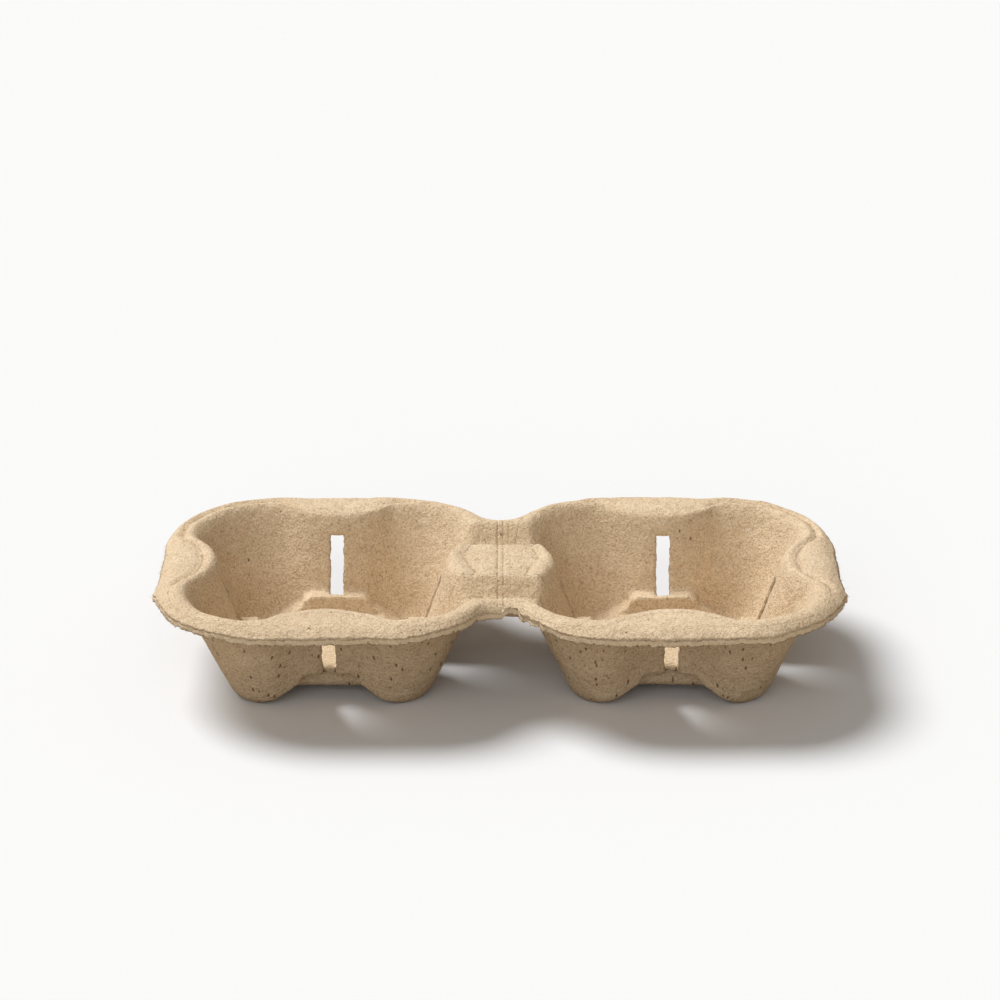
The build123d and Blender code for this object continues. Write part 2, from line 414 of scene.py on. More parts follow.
# %% Random ripples
WAVES = 28
WAVE_SPREAD = (0.7, 1.5)  # the shortest and longest wave, as shares of the usual one
SAG, SAG_WAVE = (0.13, 0.13, 0.10), 62.0  # how strong in x, y and z, and how long
DENT, DENT_WAVE = 0.085, 13.0
LUMP, LUMP_WAVE = 0.034, 4.2
SINK = 0.06
FEET_TRUE = 7.0  # the unevenness grows up to this height


def ripple(points, wavelength, seed):
    """A sum of cosine waves in random directions, with wavelengths near the one that is given,
    scaled so that its usual size is one."""
    random = np.random.default_rng(seed)
    aim = random.normal(size=(WAVES, 3))
    aim /= np.linalg.norm(aim, axis=1)[:, None]
    number = 2 * pi / (wavelength * random.uniform(*WAVE_SPREAD, WAVES))
    phase = random.uniform(0, 2 * pi, WAVES)
    waves = np.cos(points @ (aim * number[:, None]).T + phase)
    return waves.sum(axis=1) / np.sqrt(WAVES / 2)


def flat_ripple(x, y, wavelength, seed):
    """The same over the plan alone."""
    return ripple(np.stack([x, y, np.zeros(len(x))], axis=1), wavelength, seed)


def uneven(points):
    """The sheet's unevenness as a vector at each point: a slow sag of the whole form, dents about
    a centimetre across, and small lumps of pulp. It fades at the feet, so that they stand."""
    stand = step(points[:, 2], 0.0, FEET_TRUE)
    push = np.zeros(points.shape)
    for axis, slow in enumerate(SAG):
        push[:, axis] = slow * ripple(points, SAG_WAVE, 31 + axis)
        push[:, axis] += DENT * ripple(points, DENT_WAVE, 41 + axis)
        push[:, axis] += LUMP * ripple(points, LUMP_WAVE, 51 + axis)
    push[:, 2] -= SINK
    return push * stand[:, None]


print("ripple at the middle:", ripple(np.zeros((1, 3)), 20.0, 1))

# %% [markdown]
# ## Building the sheet
# The right half is built as two faces with the same rows and columns, a band that closes the cut
# edge, and four short walls round each slot. The left half is the same grid in a mirror, but its
# heights and its unevenness are worked out afresh, so the two halves aren't copies. Points that
# meet on the middle line are then merged, which leaves one closed sheet.

# %% Points of one face
ARCH_FADE = (11.0, 17.0)  # above the arches the columns go back to even spacing
SPACING = 2 * CORE / SIDE_COLUMNS
COLUMN_KNOTS = np.array([0, 2, 7, 8, 9, SIDE_COLUMNS / 2]) * SPACING
COLUMN_PLACES = {0: [0, SLOT_HALF, 8.2, 10.62, 11.12, CORE], 1: [0, SLOT_HALF, 7.6, 9.1, 9.6, CORE]}
SLOT_TORN = 0.22
EDGE_INSET, EDGE_LEAST = 0.35, 0.02
EDGE_FADE = (0.3, 2.5)  # from the middle line, where the halves meet
EDGE_SWAY, SWAY_WAVE = 0.12, 19.0
EDGE_TEETH = ((0.11, 2.6, 22), (0.10, 1.1, 23))  # depth, wavelength and seed
SPUR_AT, SPUR_REACH, SPUR_WIDTH = -19.5, 0.8, 1.5


def shifted(along, skin):
    """A column's place along its side, drawn towards the sides of the slot and of the arch."""
    return np.sign(along) * np.interp(np.abs(along), COLUMN_KNOTS, COLUMN_PLACES[skin])


def ragged_edge(x, y, mirrored):
    """How far the trimmed edge is drawn in at a place: slow waves, fine teeth that only ever cut
    in, and none at the middle line, where the halves meet. At each end a spur stands out, where
    the trimming knife left a shred of pulp."""
    gx = -x if mirrored else x
    slow = EDGE_SWAY * flat_ripple(gx, y, SWAY_WAVE, 21)
    teeth = sum(deep * np.abs(flat_ripple(gx, y, wave, seed)) for deep, wave, seed in EDGE_TEETH)
    inset = np.maximum(EDGE_INSET + slow + teeth, EDGE_LEAST) * step(np.abs(x), *EDGE_FADE)
    return inset - SPUR_REACH * np.exp(-(((y - SPUR_AT) / SPUR_WIDTH) ** 2)) * (x > CENTRE)


def slot_teeth(row, mirrored):
    """How far the columns beside a slot are pushed along the wall in one row, which gives the
    slot its torn sides. Both faces of the sheet have the same teeth."""
    random = np.random.default_rng(100 * row + mirrored)
    beside = (side >= 0) & (np.abs(np.abs(place) - 2 * SPACING) < SPACING / 4)
    return SLOT_TORN * random.uniform(-1, 1, len(start)) * beside


def face_rows(skin, mirrored):
    """The plan points of one face in rows from the core's border out to the edge, measured from
    the middle of the carrier, and how many of those rows have the wall's columns."""
    tangent = np.stack([-direction[:, 1], direction[:, 0]], axis=1)
    pull = np.where(side >= 0, shifted(place, skin) - place, 0)
    to_step = ARCH_BACK - (1 - skin) * WALL - CORE
    foot = to_cut(WALL_ROWS[0], skin)
    mouth = to_cut(HEIGHT, skin)
    rows = []
    for share in [0.0] + FLOOR_ROWS:
        before = share * 2 * to_step
        after = to_step + (share - 0.5) * 2 * (foot - to_step)
        rows.append((np.where(share < 0.5, before, after), pull))
    for row, height in enumerate(WALL_ROWS):
        fade = 1 - step(height, *ARCH_FADE)
        rows.append((to_cut(height, skin), pull * fade + slot_teeth(row, mirrored)))
    rows.append((mouth, 0 * pull))
    coarse = len(rows)
    ragged = ragged_edge(edge_points[:, 0] + CENTRE, edge_points[:, 1], mirrored)
    edge = to_edge - np.where(on_middle, 0, ragged)
    first_bridge = len(LIP_ROWS) - len(BRIDGE_ROWS)
    for k, share in enumerate(LIP_ROWS):
        rest = BRIDGE_ROWS[max(k - first_bridge, 0)]
        last = edge - rest / np.maximum(np.abs(direction[:, 0]), 0.5)
        if k < first_bridge:
            last = mouth + (last - mouth) * share / LIP_ROWS[first_bridge]
        rows.append((np.where(on_middle, last, mouth + (edge - mouth) * share), 0 * pull))
    points = []
    for distance, along in rows:
        plan = start + direction * distance[:, None] + tangent * along[:, None]
        plan[:, 0] += CENTRE
        plan[np.abs(plan[:, 0]) < ON_LINE, 0] = 0.0
        points.append(plan)
    return points, coarse


print(len(WALL_ROWS), "rows up the wall and", len(LIP_ROWS), "over the lip")

# %% [markdown]
# ## Small marks
# Two lines are scored over the bridge, so that the carrier can be torn in two. Each is a shallow
# groove with deeper cuts along it. In front the score has already started a tear: a bite of the
# rolled edge is missing on one side of it, there is a nick on the other, and beyond the bite the
# sheet has split along the middle of its thickness.

# %% Scored lines, the torn edge and the split
SCORE_DEPTH = 0.42
SCORE_WIDTH = 0.24
TOOTH_EVERY, DASH_EVERY = 5.6, 2.7
TEAR_FROM, TEAR_TO = 0.2, 5.7
TEAR_DEPTH = 1.25
NICK_AT, NICK_DEPTH, NICK_WIDTH = -0.9, 1.0, 0.55
SPLIT_FROM, SPLIT_TO = 6.2, 12.5
SPLIT_DEPTH = 0.9


def scored(gx, gy):
    """How much of a scored line a point has, 0 to 1: a bell shape across each line. The left one
    is cut all along, and deeper at each tooth of the blade; the right one is a row of dashes."""
    left = 0.78 + 0.22 * np.tanh(6 * (np.cos(2 * pi * gy / TOOTH_EVERY) - 0.5))
    right = 0.42 + 0.34 * np.tanh(4 * (np.cos(2 * pi * gy / DASH_EVERY) + 0.2))
    cut = np.where(gx < 0, left, right)
    ends = 1 - step(np.abs(gy), WAIST_HALF - 2.6, WAIST_HALF - 1.0)
    return cut * ends * np.exp(-(((np.abs(gx) - SCORE) / SCORE_WIDTH) ** 2))


def tear(gx, gy):
    """How far the front edge is drawn back beside the score: a ragged bite that ends in a sharp
    step, with a nick at its other end."""
    bite = step(gx, TEAR_FROM, TEAR_FROM + 1.2) * (1 - step(gx, TEAR_TO - 0.4, TEAR_TO))
    bite = bite * TEAR_DEPTH * (1 + 0.22 * np.sin(2.9 * gx) + 0.12 * np.sin(7.3 * gx + 1.0))
    nick = NICK_DEPTH * np.exp(-(((gx - NICK_AT) / NICK_WIDTH) ** 2))
    return (bite + nick) * (gy < 0) * (1 - inward_of(gx, gy)) ** 2


def split(gx, gy):
    """Whether the front edge is split at a place, 0 to 1."""
    opens = step(gx, SPLIT_FROM, SPLIT_FROM + 1.0)
    closes = step(gx, SPLIT_TO - 2.0, SPLIT_TO)
    return (gy < 0) * opens * (1 - closes)


print("scored on the line:", scored(np.array([SCORE]), np.array([0.0])))

# %% [markdown]
# ## From rows to squares
# Squares join neighbouring rows. Those in a slot are left out, and where the columns double,
# three triangles take the place of each.

# %% Squares and triangles between rows
SLOT_FROM, SLOT_TO = 6.0, SLOT_TOP
CORNERS = [(SIDE_COLUMNS, SIDE_COLUMNS), (0, SIDE_COLUMNS), (0, 0), (SIDE_COLUMNS, 0)]


def quads_between(first, second):
    """Squares between two rows of equal length, turned so that they face up where the second row
    lies further out."""
    return np.stack([first[:-1], second[:-1], second[1:], first[1:]], axis=1)


def closed(row):
    """A row with its first point repeated at its end."""
    return np.append(row, row[0])


def core_border(core, columns):
    """The point of the core's border at which each of the wall's columns starts. The columns of a
    corner's fan all start at that corner."""
    border = np.zeros(len(columns), dtype=int)
    runs = [core[-1, :], core[::-1, -1], core[0, ::-1], core[:, 0]]
    for k, run in enumerate(runs):
        on_side = np.flatnonzero(side[columns] == k)
        border[on_side] = run
        after = (on_side[-1] + 1 + np.arange(len(columns))) % len(columns)
        fan = after[: np.argmax(side[columns][after] >= 0)]
        border[fan] = core[CORNERS[k]]
    return border


def faces_between(inner, outer, missing):
    """The squares and the triangles between two rings, without the squares in the columns that
    are missing. Where the outer ring has twice as many points, three triangles fill each place."""
    inner, outer = closed(inner), closed(outer)
    if len(inner) == len(outer):
        faces = np.delete(quads_between(inner, outer), missing, axis=0)
        flat = faces[:, 0] == faces[:, 3]
        return faces[~flat], faces[flat][:, [0, 1, 2]]
    first, last = inner[:-1], inner[1:]
    left, middle, right = outer[:-1:2], outer[1::2], outer[2::2]
    parts = [(first, left, middle), (first, middle, last), (last, middle, right)]
    return np.zeros((0, 4), dtype=int), np.concatenate([np.stack(part, axis=1) for part in parts])


print("corner squares of the core:", CORNERS)

# %% One half of the sheet
BAND_ROWS = [0.12, 0.32, 0.56, 0.80]  # down the cut edge, as shares of its height
BAND_INSET = [0.44, 0.02, 0.0, 0.06]  # a pinched line runs along the top of it
BAND_SPLIT = [0.0, 0.25, 1.0, 0.1]  # the share of the split's depth in each row
BAND_ROUGH, BAND_OUT = ((0.17, 1.2, 61), (0.10, 4.0, 62)), 0.16
UNDER_ROUGH, UNDER_WAVE, UNDER_RISE = 0.22, 1.6, 0.1  # the lower line of the cut edge
MARK_LIMIT = 6.0  # the mark of the distance from a crease goes no further
MARK_FADED = 0.05  # the least share of a crease that the mark reckons with
MARK_OUTSIDE = 9.0  # what the outer face adds to the mark


def one_face(skin, mirrored, total):
    """One face: its points, its marks, its squares and triangles, and its rings of point
    numbers. total is the number of points that were made before it."""
    rows, coarse = face_rows(skin, mirrored)
    even = np.arange(0, len(start), 2)
    line = shifted(np.arange(-SIDE_COLUMNS / 2, SIDE_COLUMNS / 2 + 1) * SPACING, skin)
    across, back = np.meshgrid(line, line, indexing="ij")
    core = np.arange(across.size).reshape(across.shape) + total
    plan = [np.stack([across.ravel() + CENTRE, back.ravel()], axis=1)]
    rings = [core_border(core, even)]
    total += across.size
    for k, row in enumerate(rows[1:], start=1):
        chosen = row[even] if k < coarse else row
        rings.append(np.arange(len(chosen)) + total)
        plan.append(chosen)
        total += len(chosen)
    plan = np.concatenate(plan)
    gx = -plan[:, 0] if mirrored else plan[:, 0]
    gy = plan[:, 1] + tear(gx, plan[:, 1])
    groove = scored(gx, gy) * (1 - skin)
    points = np.stack([gx, gy, face_height(gx, gy, skin) - SCORE_DEPTH * groove], axis=1)
    # The distance from a crease, near which the material paints shade; it grows large where there
    # is no crease and on the outer face.
    away = from_crease(gx, gy, wall_height(np.abs(gx) - CENTRE, gy, 0))
    away = away / np.maximum(creased(gx, gy), MARK_FADED) + MARK_OUTSIDE * skin
    away = np.clip(away, -MARK_LIMIT, MARK_LIMIT)
    marks = np.stack([groove, np.zeros(len(gx)), away, np.full(len(gx), skin)], axis=1)
    edge = slice(-len(rings[-1]), None)
    rough = UNDER_ROUGH * np.abs(flat_ripple(gx[edge], gy[edge], UNDER_WAVE, 24)) - UNDER_RISE
    points[edge, 2] -= skin * rough
    corners = [core[:-1, :-1], core[1:, :-1], core[1:, 1:], core[:-1, 1:]]
    quads, triangles = [np.stack([part.ravel() for part in corners], axis=1)], []
    in_slot = (side[even] >= 0) & (np.abs(place[even] + SPACING / 2) < SLOT_HALF)
    slot_columns = np.flatnonzero(in_slot)
    for k in range(len(rings) - 1):
        missing = slot_columns if slot_ring(SLOT_FROM) <= k < slot_ring(SLOT_TO) else []
        squares, others = faces_between(rings[k], rings[k + 1], missing)
        quads.append(squares)
        triangles.append(others)
    turn = slice(None, None, -1 if skin else 1)
    quads, triangles = np.concatenate(quads)[:, turn], np.concatenate(triangles)[:, turn]
    return points, marks, quads, triangles, rings


def slot_ring(height):
    """The number of the ring at the wall's row nearest to a height."""
    return 1 + len(FLOOR_ROWS) + int(np.argmin(np.abs(WALL_ROWS - height)))


def slot_walls(rings):
    """The squares through the sheet's thickness round the four slots."""
    columns = np.arange(0, len(start), 2)
    first_ring, last_ring = slot_ring(SLOT_FROM), slot_ring(SLOT_TO)
    walls = []
    for k in range(4):
        in_slot = (side[columns] == k) & (np.abs(place[columns] + SPACING / 2) < SLOT_HALF)
        first, last = np.flatnonzero(in_slot)[[0, -1]] + [0, 1]
        for column, turn in ((first, 1), (last, -1)):
            faces = [rings[skin][first_ring : last_ring + 1] for skin in (0, 1)]
            top, low = [np.array([ring[column] for ring in face]) for face in faces]
            walls.append(quads_between(top, low)[:, ::-1][:, ::turn])
        for ring, turn in ((first_ring, 1), (last_ring, -1)):
            top, low = [rings[skin][ring][first : last + 1] for skin in (0, 1)]
            walls.append(quads_between(top, low)[:, ::turn])
    return np.concatenate(walls)


def cut_edge(points, rings, mirrored):
    """The band that joins the two faces at the cut edge: rough, pinched along its top, with a
    line of painted shade along that pinch, and open where the sheet has split."""
    free = np.flatnonzero(~on_middle)
    gap = int(np.argmax(np.diff(free) > 1)) + 1
    chain = np.concatenate([free[gap:], free[:gap]])
    chain = np.concatenate([[chain[0] - 1], chain, [chain[-1] + 1]]) % len(start)
    upper, under = points[rings[0][-1][chain]], points[rings[1][-1][chain]]
    outward = direction[chain] * (~on_middle[chain])[:, None]
    outward[:, 0] *= -1 if mirrored else 1
    open_by = SPLIT_DEPTH * split(upper[:, 0], upper[:, 1])
    made, quads = [], []
    previous = rings[0][-1][chain]
    total = len(points)
    for share, inset, parted in zip(BAND_ROWS, BAND_INSET, BAND_SPLIT):
        row = upper + (under - upper) * share
        rough = sum(deep * np.abs(ripple(row, wave, seed)) for deep, wave, seed in BAND_ROUGH)
        rough = rough - BAND_OUT
        row[:, :2] -= outward * (inset + rough + open_by * parted)[:, None]
        ids = np.arange(len(row)) + total
        made.append(row)
        total += len(row)
        quads.append(quads_between(previous, ids))
        previous = ids
    quads.append(quads_between(previous, rings[1][-1][chain]))
    # The top two rows of the band get a crease distance of 0 and 1, so the material paints a thin
    # line of shade along the pinched top of the cut edge.
    number = np.arange(len(BAND_ROWS))
    away = np.repeat(np.where(number < 2, number, MARK_LIMIT), len(upper))
    marks = np.stack([0 * away, 0 * away + 1, away, 0 * away], axis=1)
    return np.concatenate(made), marks, np.concatenate(quads)


def half_sheet(mirrored):
    """Points, marks, squares and triangles of one half. The marks say how much of a point is
    scored, whether it is on the cut edge, how far it lies from a crease, along which the material
    paints shade, and whether it is on the outer face."""
    inner, marks_in, quads_in, triangles_in, rings_in = one_face(0, mirrored, 0)
    outer, marks_out, quads_out, triangles_out, rings_out = one_face(1, mirrored, len(inner))
    points = np.concatenate([inner, outer])
    band, band_marks, band_quads = cut_edge(points, [rings_in, rings_out], mirrored)
    quads = np.concatenate([quads_in, quads_out, slot_walls([rings_in, rings_out]), band_quads])
    triangles = np.concatenate([triangles_in, triangles_out])
    marks = np.concatenate([marks_in, marks_out, band_marks])
    if mirrored:
        quads, triangles = quads[:, ::-1], triangles[:, ::-1]
    return np.concatenate([points, band]), marks, quads, triangles


right = half_sheet(False)
print("one half has", len(right[0]), "points and", 2 * len(right[2]) + len(right[3]), "triangles")

# %% The whole sheet
def whole_sheet():
    """Both halves as one set of points, marks, squares and triangles, merged where they meet on
    the middle line."""
    left = half_sheet(True)
    points = np.concatenate([right[0], left[0]])
    rounded = np.round(points, 4)
    _, first, number = np.unique(rounded, axis=0, return_index=True, return_inverse=True)
    number = number.reshape(-1)
    quads = number[np.concatenate([right[2], left[2] + len(right[0])])]
    triangles = number[np.concatenate([right[3], left[3] + len(right[0])])]
    points = points[first]
    return points + uneven(points), np.concatenate([right[1], left[1]])[first], quads, triangles


MARKS = ("scored", "cut", "from_crease", "outer_face")


def new_piece(name, points, faces, marks):
    """An object from points in millimetres, with the marks kept as attributes for the material."""
    made = bpy.data.meshes.new(name)
    made.from_pydata(points * MM, [], faces)
    made.shade_smooth()
    for column, mark in enumerate(MARKS):
        values = marks[:, column].astype(np.float32)
        made.attributes.new(mark, "FLOAT", "POINT").data.foreach_set("value", values)
    piece = bpy.data.objects.new(name, made)
    bpy.context.scene.collection.objects.link(piece)
    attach(piece, "root")
    return piece


sheet_points, sheet_marks, sheet_quads, sheet_triangles = whole_sheet()
sheet_faces = sheet_quads.tolist() + sheet_triangles.tolist()
carrier = new_piece("moulded_sheet", sheet_points, sheet_faces, sheet_marks)
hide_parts(NODE)
edge_of_loop = np.zeros(len(carrier.data.loops), dtype=int)
carrier.data.loops.foreach_get("edge_index", edge_of_loop)
uses = np.bincount(edge_of_loop)
print("edges not shared by two faces:", int((uses != 2).sum()))
print("triangles:", 2 * len(sheet_quads) + len(sheet_triangles))

# %% [markdown]
# ## Loose fibres
# Cutting tears fibres out of the sheet, and they stand off its edge as a fine fuzz. Each is a thin
# curved tube with three sides that starts inside the cut edge and leans out at random.

# %% Fibres along the cut edge
FIBRES = 2600
FIBRE_RADIUS = 0.065
FIBRE_SHARES = (0.6, 1.2)  # of that radius, from the thinnest to the thickest
FIBRE_THINS = 0.6
FIBRE_LENGTH = (0.2, 1.5)
FIBRE_SPREAD = (2.0, 0.26)  # the shape and the scale of a gamma spread
FIBRE_ALONG, FIBRE_STRAY, FIBRE_SAG = 0.8, 0.6, 0.25
FIBRE_BEND = 0.45
FIBRE_ROOT = 0.15  # inside the sheet
FIBRE_STEPS = np.linspace(0, 1, 5)


def fibres(roots, normals, seed):
    """Points and faces of the fibres: each follows its aim times t plus its bend times t squared,
    for t from 0 to 1, and thins towards its tip."""
    random = np.random.default_rng(seed)
    chosen = random.integers(0, len(roots), FIBRES)
    aim = normals[chosen] * FIBRE_ALONG
    aim = aim + random.normal(scale=FIBRE_STRAY, size=(FIBRES, 3)) + [0, 0, -FIBRE_SAG]
    aim /= np.linalg.norm(aim, axis=1)[:, None]
    bend = random.normal(scale=FIBRE_BEND, size=(FIBRES, 3))
    length = np.clip(random.gamma(*FIBRE_SPREAD, FIBRES), *FIBRE_LENGTH)
    t = FIBRE_STEPS[None, :, None]
    spine = length[:, None, None] * (aim[:, None] * t + bend[:, None] * t**2)
    spine = spine + roots[chosen][:, None] - FIBRE_ROOT * aim[:, None]
    beside = np.cross(aim, random.normal(size=(FIBRES, 3)))
    beside /= np.linalg.norm(beside, axis=1)[:, None]
    above = np.cross(aim, beside)
    radius = FIBRE_RADIUS * random.uniform(*FIBRE_SHARES, FIBRES)[:, None, None]
    radius = radius * (1 - FIBRE_THINS * t)
    sides = [beside * cos(a) + above * sin(a) for a in (0, 2 * pi / 3, 4 * pi / 3)]
    points = np.stack([spine + radius * way[:, None] for way in sides], axis=2)
    count = len(FIBRE_STEPS)
    number = np.arange(FIBRES * count * 3).reshape(FIBRES, count, 3)
    beyond = np.roll(number, -1, axis=2)
    walls = [number[:, :-1], beyond[:, :-1], beyond[:, 1:], number[:, 1:]]
    walls = np.stack(walls, axis=-1).reshape(-1, 4)
    tips = number[:, -1].reshape(-1, 3)
    return points.reshape(-1, 3), walls.tolist() + tips.tolist()


normals = np.zeros(3 * len(sheet_points), dtype=np.float32)
carrier.data.vertices.foreach_get("normal", normals)
at_cut = sheet_marks[:, 1] > 0.5
fibre_points, fibre_faces = fibres(sheet_points[at_cut], normals.reshape(-1, 3)[at_cut], 81)
fibre_marks = np.tile([0.0, 1.0, MARK_LIMIT, 0.0], (len(fibre_points), 1))
fuzz = new_piece("edge_fibres", fibre_points, fibre_faces, fibre_marks)
print("fibres:", FIBRES, "with", len(fibre_faces), "faces")

# %% [markdown]
# ## The pulp
# Moulded pulp is a dull, felt-like brown, with a fine nap, cloudy patches of denser pulp, short
# curled fibres, paler and darker, and a few dark shreds of bark. A fibre is a line along which a
# noise passes through its middle value, and a second noise breaks those lines into short pieces.
# The patterns read object coordinates, in metres.

# %% Building blocks for the material
def linked(tree, socket, value):
    """Gives an input a value, or links it where the value is another node's output."""
    if hasattr(value, "is_output"):
        tree.links.new(value, socket)
    else:
        socket.default_value = value


def maths(tree, operation, first, second=0.0):
    """One sum, product or other operation on two values."""
    made = tree.nodes.new("ShaderNodeMath")
    made.operation = operation
    linked(tree, made.inputs[0], first)
    linked(tree, made.inputs[1], second)
    return made.outputs[0]


def noise(tree, place, size, detail=2.0):
    """Noise whose features measure about size in millimetres."""
    made = tree.nodes.new("ShaderNodeTexNoise")
    made.inputs["Scale"].default_value = 1 / (size * MM)
    made.inputs["Detail"].default_value = detail
    made.inputs["Roughness"].default_value = 0.6
    tree.links.new(place, made.inputs["Vector"])
    return made.outputs["Fac"]


def ramp(tree, value, low, high):
    """The value stretched so that low becomes 0 and high becomes 1, and held there beyond."""
    made = tree.nodes.new("ShaderNodeMapRange")
    made.inputs["From Min"].default_value = low
    made.inputs["From Max"].default_value = high
    tree.links.new(value, made.inputs["Value"])
    return made.outputs["Result"]


def mixed(tree, share, first, second):
    """The first colour turning into the second by the share."""
    made = tree.nodes.new("ShaderNodeMix")
    made.data_type = "RGBA"
    linked(tree, made.inputs[0], share)
    linked(tree, made.inputs[6], first)
    linked(tree, made.inputs[7], second)
    return made.outputs[2]


def moved(tree, place, offset, stretch=(1, 1, 1)):
    """The coordinates stretched and moved, so that two noises of one size don't coincide."""
    made = tree.nodes.new("ShaderNodeMapping")
    made.inputs["Location"].default_value = offset
    made.inputs["Scale"].default_value = stretch
    tree.links.new(place, made.inputs["Vector"])
    return made.outputs["Vector"]


def strands(tree, place, size, width, share):
    """Short curled lines: 1 on a line, 0 beside it. A line lies where a noise passes 0.5, and the
    share of each line that is kept is where another noise is high."""
    value = noise(tree, place, size, 1.0)
    from_middle = maths(tree, "ABSOLUTE", maths(tree, "SUBTRACT", value, 0.5))
    line = ramp(tree, from_middle, 0.8 * width / size, 0.0)
    other = noise(tree, moved(tree, place, (0.3, 0.1, 0.7)), 0.8 * size, 0.0)
    return maths(tree, "MULTIPLY", line, ramp(tree, other, 1 - share, 1.03 - share))


def shreds(tree, place, size, radius, kept, upright=0.4):
    """Dark shreds, longer down the wall than across it: 1 near the middle of a few of the cells
    that a Voronoi pattern makes."""
    cells = tree.nodes.new("ShaderNodeTexVoronoi")
    cells.inputs["Scale"].default_value = 1 / (size * MM)
    tree.links.new(moved(tree, place, (0.2, 0.5, 0.1), (1, 1, upright)), cells.inputs["Vector"])
    parts = tree.nodes.new("ShaderNodeSeparateColor")
    tree.links.new(cells.outputs["Color"], parts.inputs["Color"])
    dot = ramp(tree, cells.outputs["Distance"], radius / size, 0.5 * radius / size)
    return maths(tree, "MULTIPLY", dot, ramp(tree, parts.outputs["Red"], 1 - kept, 1.01 - kept))


def side_of(tree, place):
    """The distance to the right of the middle of the carrier, in metres."""
    made = tree.nodes.new("ShaderNodeSeparateXYZ")
    tree.links.new(place, made.inputs["Vector"])
    return made.outputs["X"]


def marked(tree, name):
    """One of the marks that the mesh carries."""
    made = tree.nodes.new("ShaderNodeAttribute")
    made.attribute_name = name
    return made.outputs["Fac"]


print("helpers for the material are ready")

# %% Pulp material
CLOUDS, MOTTLE, GRAIN = 14.0, 2.6, 0.62  # the sizes of the three noises
PULP = (0.772, 0.614, 0.424, 1)
PULP_DENSE = (0.651, 0.498, 0.328, 1)
PULP_NAP = (0.860, 0.722, 0.535, 1)
FIBRE_PALE = (0.900, 0.790, 0.625, 1)
# the brown of the fibres, which also serves as the painted shade along the creases
FIBRE_BROWN_AND_CREASE_SHADE = (0.340, 0.215, 0.112, 1)
# the paler tone of the torn fibres at the trimmed edge, and painted light on the band that faces
# the front
CUT_EDGE_TONE_AND_LIGHT = (0.870, 0.715, 0.510, 1)
SHRED = (0.130, 0.070, 0.032, 1)
SCORE_SHADE = (0.200, 0.115, 0.055, 1)
SCORE_DARK = (0.26, 0.08)  # from a scored line, where its shade starts and where it is full
# the painted shade along the creases: how near a crease it starts, in millimetres, and how far its
# line wanders
CREASE_DARK = 0.66
CREASE_WANDER = 1.1
ROUGHNESS, SPECULAR = 0.95, 0.12
BUMP = 0.40


